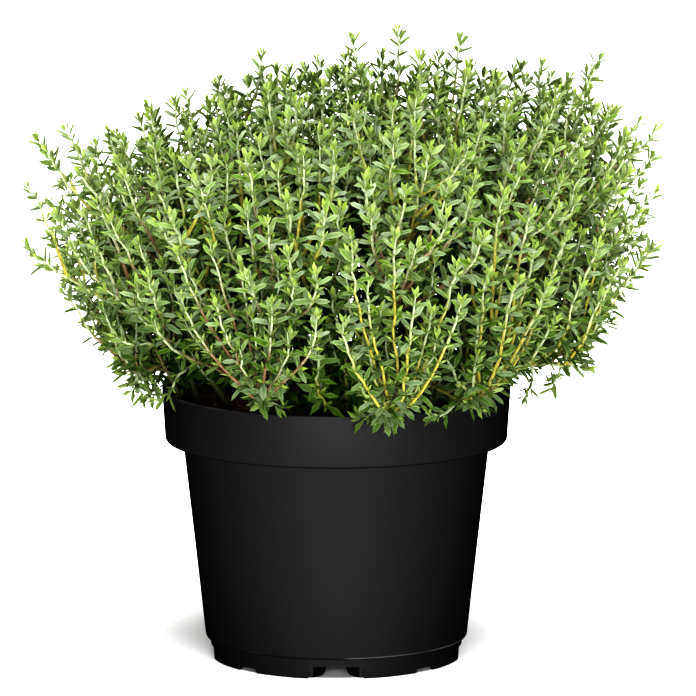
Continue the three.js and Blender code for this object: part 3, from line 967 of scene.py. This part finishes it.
class Stem:
    """One stem of the plant: where it rises, where its tip is, and its shoots."""

    def __init__(self, index):
        draw = numbers(STEM_SEED + index)
        place = (index + 0.5) / STEMS
        self.azimuth = index * GOLDEN_ANGLE
        base_radius = BASE_RADIUS * place**BASE_SPREAD
        polar = math.acos(1 - place * (1 - math.cos(LOWEST_TIP)))
        azimuth = self.azimuth + TURN_SCATTER * (next(draw) - 0.5)
        self.tip = crown_point(polar, azimuth, 1 - TIP_SCATTER * next(draw))
        x, y = on_circle(base_radius, self.azimuth)
        self.base = np.array([x, y, soil_height(x, y)])
        self.share = base_radius / BASE_RADIUS
        self.name = f"thyme_stem_{index + 1:02d}"
        self.sprigs = []

    def grow(self):
        """One smooth sweep from the soil to the tip."""
        azimuth = math.atan2(self.base[1], self.base[0])
        tip_azimuth = math.atan2(self.tip[1] - self.base[1] / 2, self.tip[0] - self.base[0] / 2)
        drop = math.acos(max(-1, min(1, (self.tip[2] - CROWN_MIDDLE) / CROWN_DROP)))
        droop = DROOP * max(0, DROOP_BELOW - self.tip[2])
        lean = TIP_LEAN * min(1, drop / LOWEST_TIP) ** LEAN_GROWTH
        arrive = leaning(droop + min(lean, LEAN_PER_MM * math.hypot(*self.tip[:2])), tip_azimuth)
        reach = max(SHORTEST_HANDLE, HANDLE * np.linalg.norm(self.base - self.tip))
        base_lean = BASE_LEAN[0] + (BASE_LEAN[1] - BASE_LEAN[0]) * self.share**2
        away = leaning(base_lean, azimuth)
        controls = [self.base, self.base + away * reach, self.tip - arrive * reach, self.tip]
        self.main = Shoot(controls, sideways(tip_azimuth), STEM_RADIUS)
        self.foot = self.base - away * ROOTED

    def side_shoot(self, u, turn, reach):
        """A sprig that leaves the stem at a slant and sweeps up beside it."""
        ahead = self.main.heading(u)
        out = slanting(*self.main.across(u), turn)
        leave = slanting(ahead, out, SPRIG_LEAN)
        start = self.main.point(u)
        bend = start + leave * reach / 2
        onward = unit(ahead + (leave - ahead) * SPRIG_SWEEP) * reach / 2
        return Shoot([start, bend, bend + onward], np.cross(ahead, out), SPRIG_RADIUS)

    def sprig_to(self, tip, u, lean, turn_up):
        """A sprig that leaves the stem at a slant towards a tip, and turns up to it."""
        start = self.main.point(u)
        ahead = self.main.heading(u)
        reach = np.linalg.norm(tip - start)
        out = unit(tip - start - ahead * (ahead @ (tip - start)))
        bend = start + slanting(ahead, out, lean) * reach * turn_up
        below_tip = tip - skyward(tip) * reach * TIP_BEND
        return Shoot([start, bend, below_tip, tip], np.cross(ahead, out), SPRIG_RADIUS)

    def take_frame_sprig(self):
        """The sprig that the frame's stem has, found by the turn round the stem at which its solid is."""
        solid = np.array([point.co[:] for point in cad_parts[self.name].data.vertices]) / MM
        made = []
        for i in range(SPRIG_TURNS):
            sprig = self.side_shoot(SPRIG_PLACE, i * TURN / SPRIG_TURNS, SPRIG_SHARE * self.main.length)
            made.append((np.linalg.norm(solid - sprig.line[-1], axis=1).min(), i, sprig))
        gap, _, sprig = min(made)
        if gap < SPRIG_MISS:
            self.sprigs.append(sprig)


def skyward(points):
    """The way shoots strive at places in the crown: up, and outwards away from the middle."""
    level = points * (1, 1, 0)
    return unit(UP + level * np.linalg.norm(level, axis=-1, keepdims=True) * OUTWARD)


def planted(internode, draw):
    """All stems, each outline tip reached by the stem whose own tip is nearest to it."""
    stems = [Stem(i) for i in range(STEMS)]
    free = list(stems)
    for place in OUTLINE_TIPS:
        nearest = min(free, key=lambda stem: np.linalg.norm(stem.tip - place))
        nearest.tip = np.array(place, float)
        free.remove(nearest)
    for stem in stems:
        stem.grow()
        stem.main.set_nodes(internode * draw.uniform(*STEM_SPACING), BARE, draw)
        stem.take_frame_sprig()
    return stems


def crown_share(points):
    """How far out in the crown points in millimetres lie: 1 on its surface."""
    x, y, z = np.moveaxis(points - CROWN_SHIFT, -1, 0)
    level = np.hypot(x, y) / CROWN_SIDE / (1 - CROWN_TAPER * np.maximum(0, CROWN_WAIST - z))
    upright = np.maximum(0, z - CROWN_MIDDLE - CROWN_TILT * x) / CROWN_TOP
    return (level**CROWN_BULGE + upright**CROWN_BULGE) ** (1 / CROWN_BULGE)


def over_bare_soil(points):
    """Which points stand low over the patch that is kept free of growth, as far as the rim before it."""
    level = np.hypot(points[..., 0] - BARE_SOIL[0], points[..., 1] - BARE_SOIL[1])
    return (level < BARE_SOIL_REACH) & (points[..., 2] < BARE_SOIL_TOP)


# Besides the size and kind of leaves, this depth sets the painted shade of leaves and stems.
def depth_in_crown(points):
    """0 for points near the crown's surface, 1 deep inside it, and sooner where the growth is low.
    The points are in metres."""
    low = np.clip((LOW_GROWTH - points[..., 2] / MM) / LOW_FADE, -1, 1)
    start, reach = (middle + slope * low for middle, slope in (DEEP_FROM, DEEP_WITHIN))
    return np.clip((start - crown_share(points / MM)) / reach, 0, 1)


def clear_of_pot(points, margin):
    """Which points are above the soil inside the pot, or outside it."""
    points = np.atleast_2d(points)
    radius = np.hypot(points[:, 0], points[:, 1])
    above_soil = points[:, 2] > soil_height(points[:, 0], points[:, 1]) + margin
    outside = (points[:, 2] > POT_HEIGHT + margin) | (radius > RIM_RADIUS + margin)
    return np.where(radius < RIM_RADIUS - RIM_WALL - margin, above_soil, outside)


class Crown:
    """The tips of all shoots so far. Each new shoot goes where, of some tries, the crown is barest."""

    def __init__(self, stems, draw):
        self.stems = stems
        self.draw = draw
        self.tips = [shoot.line[-1] for stem in stems for shoot in [stem.main, *stem.sprigs]]
        self.places = np.linspace(*SPRIG_PLACES, PLACES)
        self.origins = np.concatenate([stem.main.point(self.places) for stem in stems])

    def barest(self, tips):
        """Which place is furthest from the tips so far, with a lean towards the crown's surface."""
        gaps = np.linalg.norm(np.array(self.tips) - tips[:, None], axis=2).min(1)
        depth = crown_share(tips)
        return np.argmax(gaps + SURFACE_PULL * depth - OUTSIDE_PUSH * np.maximum(0, depth - 1))

    def keep(self, stem, shoot):
        if clear_of_pot(shoot.line[ROOT_STEPS:], SHOOT_ROOM).all() and not over_bare_soil(shoot.line).any():
            stem.sprigs.append(shoot)
            self.tips.append(shoot.line[-1])

    def random_tips(self):
        reach = np.array([CROWN_SIDE, CROWN_SIDE, CROWN_TOP])
        tips = []
        while len(tips) < CANDIDATES:
            tip = self.draw.uniform(-reach, reach) + (0, 0, CROWN_MIDDLE) + CROWN_SHIFT
            if INNERMOST_TIP < crown_share(tip) < 1:
                tips.append(tip)
        return np.array(tips)

    def strain(self, tips):
        """How hard each tip is to reach from each place on the stems, and which ways rise well enough."""
        ahead = tips[:, None] - self.origins
        climb = (ahead * skyward(tips)[:, None]).sum(-1)
        aside = np.sqrt(np.maximum(0, (ahead**2).sum(-1) - climb**2))
        common = self.draw.uniform(*SPRIG_CLIMB)
        odd = self.draw.uniform(0, ODD_STRAIN, aside.shape)
        strain = aside + CLIMB_STRAIN * abs(climb - common) + odd
        return strain, (climb > LEAST_CLIMB) & (aside < MOST_ASIDE * climb)

    def reach_for(self, tip, strain):
        """A sprig with this tip, from the place where that takes the least strain."""
        origin = np.argmin(strain)
        stem, u = self.stems[origin // PLACES], self.places[origin % PLACES]
        lean = math.radians(self.draw.uniform(*SPRIG_LEANS))
        self.keep(stem, stem.sprig_to(tip, u, lean, self.draw.uniform(*SPRIG_BEND)))

    def add_set_sprigs(self):
        """The sprigs that stand out of the crown's outline, and those that hang over the rim."""
        for tip in np.array(SET_TIPS, float):
            strain, _ = self.strain(tip[None])
            self.reach_for(tip, strain[0])

    def add_sprigs(self, number):
        """Each sprig reaches a bare place from a stem that it can rise from easily."""
        for _ in range(number * len(self.stems)):
            tips = self.random_tips()
            strain, easy = self.strain(tips)
            strain[~easy] = np.inf
            within = easy.any(1)
            if within.any():
                best = self.barest(tips[within])
                self.reach_for(tips[within][best], strain[within][best])

    def add_ground_shoots(self, number):
        """Shoots that rise from the soil beside the outer stems. The last round of them stays low."""
        for step in range(number):
            for stem in self.stems:
                if stem.share > SHOOT_SHARE + SHOOT_STEP * step:
                    reaches = GROUND_REACH if step < number - 1 else LOW_REACH
                    tries = [ground_shoot(stem, reaches, self.draw) for _ in range(CANDIDATES)]
                    best = self.barest(np.array([shoot.line[-1] for shoot in tries]))
                    self.keep(stem, tries[best])


def ground_shoot(stem, reaches, draw):
    azimuth = stem.azimuth + draw.uniform(-SHOOT_TURN, SHOOT_TURN)
    foot = stem.base + draw.normal(0, SHOOT_OFFSET, 3)
    foot[:2] *= min(1, SOIL_EDGE / math.hypot(*foot[:2]))
    foot[2] = soil_height(*foot[:2]) - SHOOT_DEPTH
    reach = draw.uniform(*reaches)
    way = leaning(math.radians(draw.uniform(*SHOOT_LEAN)) * stem.share, azimuth)
    bend = foot + way * reach * SHOOT_BEND
    tip = bend + unit(skyward(bend) + SHOOT_ONWARD * way) * reach * (1 - SHOOT_BEND)
    return Shoot([foot, bend, tip], sideways(azimuth), GROUND_RADIUS)


# Leaves. A station of a leaf: its place, width, thickness and drop, each a share of the whole leaf's
LEAF_ROOT = (0.16, 0.16)
LEAF_STATIONS = [(0.32, 0.94, 0.36, 0.0), (0.78, 0.82, 0.3, 0.05), (1.0, 0.1, 0.1, 0.1)]
SMALL_STATIONS = [(0.56, 1.0, 0.4, 0.03), (1.0, 0.1, 0.1, 0.1)]
SMALL_LEAF = 0.8
DIM = 0.5
LEAF_FOLD = 0.3
MIDRIB_SINK = 0.55
LEAF_REACH = [[3.0], [6.6]]
LEAF_ROOM = 0.4
TO_LIGHT = 0.8
GROWN_AFTER = 6.2
YOUNG_WITHIN = 2.4
LEAF_SPREAD = (12, 62)
LEAF_SCATTER = 10
SHOOT_TWIST = 0.6
PAIR_SCATTER = 0.16
TOP_SCATTER = 0.25
VIGOURS = (0.85, 1.08)
LEAF_SIZES = (0.84, 1.12)
LEAF_WIDTHS = (0.77, 1.0)
LEAF_CURLS = (0.6, 1.5)
LEAF_YOUTHS = (0.85, 1.2)
LEAF_SEAT = 0.7
TIP_SHRINK = 0.52
TIP_WIDENING = 0.2
WIDE_WITHIN = 4
INNER_GROWTH = 0.22
TUFTS_BELOW = 5
TUFT_SHARE = 0.85
TUFT_RISE = 0.3
TUFT_SHRINK = 0.4
TUFTS_GROWN_AFTER = 16
TUFT_SLANTS = (0.35, 0.8)
TUFT_SIZES = (0.48, 0.82)
TUFT_SPREADS = (22, 40)
TUFT_WIDTH = 0.88
TUFT_YOUTHS = (0.3, 0.95)
FULL_TUFTS = 0.5
CROSS_RISE = 0.5
CROSS_DROOP = 0.4
CROSS_SPREAD = 0.35
CROSS_SIZE = (0.62, 0.6)
CROSS_YOUTH = 0.95
BARK_SIDES = (4, 8)
KNOTS_BELOW = 4
KNOT = 1.22
KNOT_LENGTH = 0.7
TIP_TAPER = 0.45
AGE_PER_MM = 1 / 85
WOOD_PER_MM = 1 / 50


def leaf_template(look, stations):
    """A full-grown leaf along X: a small square that is extruded, scaled and closed in a point."""
    half = look.leaf_width / 2
    leaf = added(
        bpy.ops.mesh.primitive_circle_add, "leaf", vertices=4, radius=half, fill_type="NGON",
        rotation=(0, QUARTER, 0),
    )
    with editing():
        bpy.ops.mesh.select_all(action="SELECT")
        place, drop = 0.0, 0.0
        width, thick = LEAF_ROOT
        bpy.ops.transform.resize(value=(1, width, thick), center_override=(0, 0, 0))
        for next_place, next_width, next_thick, next_drop in stations:
            move = ((next_place - place) * look.leaf_length, 0, -((next_drop - drop) * look.leaf_length))
            middle = (next_place * look.leaf_length, 0, -next_drop * look.leaf_length)
            draw_out(move, middle, 1, next_width / width, next_thick / thick)
            place, drop, width, thick = next_place, next_drop, next_width, next_thick
        bpy.ops.mesh.merge(type="CENTER")
        face_outwards()
    points, faces = taken_apart(settle(leaf))
    across = np.where(abs(points[:, 1]) > 1e-6, np.sign(points[:, 1]), 0)
    table = np.array([(0, 0, 0, 0), *stations])
    spine = -np.interp(points[:, 0] / look.leaf_length, table[:, 0], table[:, 3])
    lift = np.where(across == 0, np.sign(np.round(points[:, 2] - spine * look.leaf_length, 6)), 0)
    points[:, 2] += LEAF_FOLD * abs(points[:, 1])
    points[:, 2] -= np.where(lift > 0, LEAF_FOLD * half * MIDRIB_SINK, 0)
    places = np.stack([points[:, 0] / look.leaf_length, across, lift], -1)
    return points, [np.array([face for face in faces if len(face) == size]) for size in (4, 3)], places


class Leaves:
    """The leaves of one stem, gathered as rows and then set down all at once."""

    def __init__(self, templates):
        self.templates = templates
        self.rows = [[], []]

    def put(self, root, heading, top, size, width, youth, tone, curl=1.0):
        """Takes the leaf unless its blade would run into the soil or the pot."""
        heading = unit(heading)
        top = unit(top - heading * (top @ heading))
        blade = root + heading * np.array(LEAF_REACH) * size
        if clear_of_pot(blade, LEAF_ROOM).all() and not over_bare_soil(blade).any():
            kind = int(size < SMALL_LEAF or depth_in_crown(root * MM) > DIM)
            self.rows[kind].append([*root, *heading, *top, size, width, curl, youth, tone])

    def set_down(self, growth):
        for rows, template in zip(self.rows, self.templates):
            self.stamp(growth, np.array(rows), *template)

    @staticmethod
    def stamp(growth, rows, points, faces, place):
        root, heading, top = rows[:, 0:3], rows[:, 3:6], rows[:, 6:9]
        size, width, curl, youth, tone = rows[:, 9:].T
        placed = root[:, None] * MM
        ways = (heading, np.cross(top, heading), top)
        for axis, (way, scale) in enumerate(zip(ways, (size, width, width * curl))):
            placed = placed + points[None, :, axis, None] * scale[:, None, None] * way[:, None]
        # The third number is the leaf's depth in the crown, which sets its painted shade.
        value = np.stack([youth, tone, depth_in_crown(root * MM)], -1)[:, None] + 0 * points[None]
        first = np.arange(len(rows))[:, None, None] * len(points)
        blocks = [(face[None] + first).reshape(-1, face.shape[1]) for face in faces]
        growth.add(placed, blocks, value.reshape(-1, 3), np.tile(place, (len(rows), 1)))


def tuft(leaves, root, ahead, out, draw, vigour, tone):
    """The small bright leaves in the axil of a grown leaf: a pair, and often a smaller pair across it."""
    side = np.cross(ahead, out)
    lead = unit(ahead + out * draw.uniform(*TUFT_SLANTS))
    size = vigour * draw.uniform(*TUFT_SIZES)
    spread = math.radians(draw.uniform(*TUFT_SPREADS))
    for sign in (-1, 1):
        heading, top = slanting(lead, side * sign, spread), slanting(-side * sign, lead, spread)
        leaves.put(root, heading, top, size, size * TUFT_WIDTH, draw.uniform(*TUFT_YOUTHS), tone)
    if draw.random() < FULL_TUFTS:
        for sign in (-1, 1):
            heading = unit(lead + unit(out - ahead * CROSS_DROOP) * sign * CROSS_SPREAD)
            small, narrow = (size * part for part in CROSS_SIZE)
            seat = root + lead * CROSS_RISE
            leaves.put(seat, heading, ahead - out * sign, small, narrow, CROSS_YOUTH, tone)


def leafy(leaves, shoot, draw, vigour):
    """A pair of leaves at each node, a quarter turn from the last pair, and tufts in the older axils."""
    twist = draw.random() * SHOOT_TWIST
    for i, place in enumerate(shoot.nodes):
        u = 1 - place / shoot.length
        ahead = shoot.heading(u)
        level, lift = shoot.across(u)
        centre = shoot.point(u)
        grown = 1 - math.exp(-place / GROWN_AFTER)
        young = math.exp(-place / YOUNG_WITHIN)
        swell = 1 + INNER_GROWTH * depth_in_crown(centre * MM)
        for half in (0, 1):
            turn = i * QUARTER + half * math.pi + twist + draw.normal(0, PAIR_SCATTER)
            out = slanting(level, lift, turn)
            spread = LEAF_SPREAD[0] + LEAF_SPREAD[1] * grown + draw.normal(0, LEAF_SCATTER) * grown
            spread = math.radians(spread)
            heading, top = slanting(ahead, out, spread), slanting(-out, ahead, spread)
            top = unit(top) + TO_LIGHT * grown * unit(centre * (1, 1, 0) + UP)
            top = top + draw.normal(0, TOP_SCATTER, 3)
            size = vigour * (1 - TIP_SHRINK * young) * draw.uniform(*LEAF_SIZES) * swell
            widening = 1 + TIP_WIDENING * math.exp(-place / WIDE_WITHIN)
            width = size * draw.uniform(*LEAF_WIDTHS) * widening
            root = centre + out * shoot.radius(u) * LEAF_SEAT
            tone = draw.random()
            youth = min(1, young * draw.uniform(*LEAF_YOUTHS))
            leaves.put(root, heading, top, size, width, youth, tone, draw.uniform(*LEAF_CURLS))
            if place > TUFTS_BELOW and draw.random() < TUFT_SHARE:
                grown_to = vigour * (1 - TUFT_SHRINK * math.exp(-place / TUFTS_GROWN_AFTER))
                tuft(leaves, root + ahead * TUFT_RISE, ahead, out, draw, grown_to, tone)


def bark(growth, shoot, tone, foot):
    """The shoot's stem: the main one has a slight knot at each node, and the sprigs only bend there.
    Shoots that rise from the soil are woody near it."""
    main = foot is not None
    sides = BARK_SIDES[main]
    marks = {0.0: 1.0, 0.5: 1.0, 1.0: TIP_TAPER}
    for place in shoot.nodes:
        if place > KNOTS_BELOW:
            u = 1 - place / shoot.length
            marks[u] = KNOT
            if main:
                marks[u - KNOT_LENGTH / shoot.length] = marks[u + KNOT_LENGTH / shoot.length] = 1.0
    table = np.array(sorted(marks.items()))
    points, faces = tube(shoot, table[:, 0], table[:, 1], sides)
    if main:
        points[0] += (foot - shoot.line[0]) * MM
    age = (1 - table[:, 0]) * shoot.length * AGE_PER_MM
    if shoot.radii != SPRIG_RADIUS:
        age = np.maximum(age, 1 - table[:, 0] * shoot.length * WOOD_PER_MM)
    age = np.repeat(np.minimum(1, age), sides)
    # The depth sets the bark's painted shade.
    depth = depth_in_crown(points.reshape(-1, 3))
    growth.add(points, faces, np.stack([age, 0 * age + tone, depth], -1), slot=1)


class THYME_OT_stems(bpy.types.Operator):
    """Grow the leafy stems with all their sprigs"""

    bl_idname = "thyme.grow_stems"
    bl_label = "Leafy stems"

    def execute(self, context):
        look = context.scene.thyme_foliage
        draw = np.random.default_rng(look.seed)
        internode = look.internode / MM
        stems = planted(internode, draw)
        crown = Crown(stems, draw)
        crown.add_set_sprigs()
        crown.add_ground_shoots(look.shoots)
        crown.add_sprigs(look.sprigs)
        templates = [leaf_template(look, stations) for stations in (LEAF_STATIONS, SMALL_STATIONS)]
        finishes = [leaf_finish(look), stem_finish(look)]
        for stem in stems:
            growth, leaves = Growth(), Leaves(templates)
            tone = draw.random()
            for shoot in [stem.main, *stem.sprigs]:
                if shoot is not stem.main:
                    shoot.set_nodes(internode * draw.uniform(*SPRIG_SPACING), BARE, draw)
                bark(growth, shoot, tone, stem.foot if shoot is stem.main else None)
                leafy(leaves, shoot, draw, draw.uniform(*VIGOURS))
            leaves.set_down(growth)
            piece = growth.made(stem.name.replace("thyme", "leafy"), finishes)
            smooth(piece, 55)
            stand_in(piece, "foliage", stem.name)
        return {"FINISHED"}


# Stage
FLOOR_SIZE = 16
LIT_PLACE = (0, 0, 0.12)
FRONT_LIGHT_PLACE = (0.05, -1.5, 0.24)
FRONT_LIGHT_SIZE = (1.8, 0.44)
TOP_LIGHT_PLACE = (0.12, -0.62, 2.35)


class THYME_OT_stage(bpy.types.Operator):
    """Lay a plain pale floor, hang soft lights and set up the camera"""

    bl_idname = "thyme.set_stage"
    bl_label = "Stage"

    def execute(self, context):
        scene, stage = context.scene, context.scene.thyme_stage
        floor = added(bpy.ops.mesh.primitive_plane_add, "floor", size=FLOOR_SIZE)
        finish = Finish("floor_paper")
        floor.data.materials.append(finish.surface(finish.principled(stage.floor, 0.9)))
        box = self.hang("AREA", "front_light", FRONT_LIGHT_PLACE, stage.front_light)
        box.shape = "RECTANGLE"
        box.size, box.size_y = FRONT_LIGHT_SIZE
        self.hang("SUN", "top_light", TOP_LIGHT_PLACE, stage.top_light).angle = stage.top_spread
        self.fill(scene, stage.fill)
        self.aim(scene, stage)
        scene.view_settings.view_transform = "Standard"
        scene.view_settings.look = "Very High Contrast"
        return {"FINISHED"}

    def hang(self, kind, name, place, energy):
        aim = (Vector(LIT_PLACE) - Vector(place)).to_track_quat("-Z", "Y")
        light = added(bpy.ops.object.light_add, name, type=kind, location=place, rotation=aim.to_euler())
        light.data.energy = energy
        light.visible_camera = False
        return light.data

    def fill(self, scene, strength):
        world = bpy.data.worlds.new("studio")
        world.use_nodes = True
        background = world.node_tree.nodes["Background"]
        background.inputs["Color"].default_value = (1, 1, 1, 1)
        background.inputs["Strength"].default_value = strength
        scene.world = world

    def aim(self, scene, stage):
        pitch = stage.elevation
        back = Vector((0, -math.cos(pitch), math.sin(pitch))) * stage.distance
        place = Vector((stage.view_centre_x, 0, stage.view_centre_z)) + back
        turn = (QUARTER - pitch, 0, 0)
        camera = added(bpy.ops.object.camera_add, "camera", location=place, rotation=turn)
        camera.data.lens = camera.data.sensor_width * stage.distance / stage.view_width
        camera.data.clip_end = 100
        scene.camera = camera


# Sidebar
class THYME_PT_panel(bpy.types.Panel):
    """Lists the pieces of the potted thyme and their settings"""

    bl_idname = "THYME_PT_panel"
    bl_label = "Potted Thyme"
    bl_space_type = "VIEW_3D"
    bl_region_type = "UI"
    bl_category = "Thyme"

    def draw(self, context):
        for operator, settings in zip(OPERATORS, SETTINGS):
            box = self.layout.box()
            box.operator(operator.bl_idname)
            group = getattr(context.scene, settings)
            for name in group.__annotations__:
                box.prop(group, name)


OPERATORS = (THYME_OT_pot, THYME_OT_soil, THYME_OT_stems, THYME_OT_stage)
SETTINGS = {
    "thyme_pot": PotSettings,
    "thyme_soil": SoilSettings,
    "thyme_foliage": FoliageSettings,
    "thyme_stage": StageSettings,
}


def register():
    for group in (*SETTINGS.values(), *OPERATORS, THYME_PT_panel):
        bpy.utils.register_class(group)
    for name, group in SETTINGS.items():
        setattr(bpy.types.Scene, name, PointerProperty(type=group))


def unregister():
    for name in SETTINGS:
        delattr(bpy.types.Scene, name)
    for group in (THYME_PT_panel, *OPERATORS, *SETTINGS.values()):
        bpy.utils.unregister_class(group)


def main():
    register()
    bpy.ops.thyme.make_pot()
    bpy.ops.thyme.fill_soil()
    bpy.ops.thyme.grow_stems()
    bpy.ops.thyme.set_stage()
    bpy.context.view_layer.update()


if __name__ == "__main__":
    main()
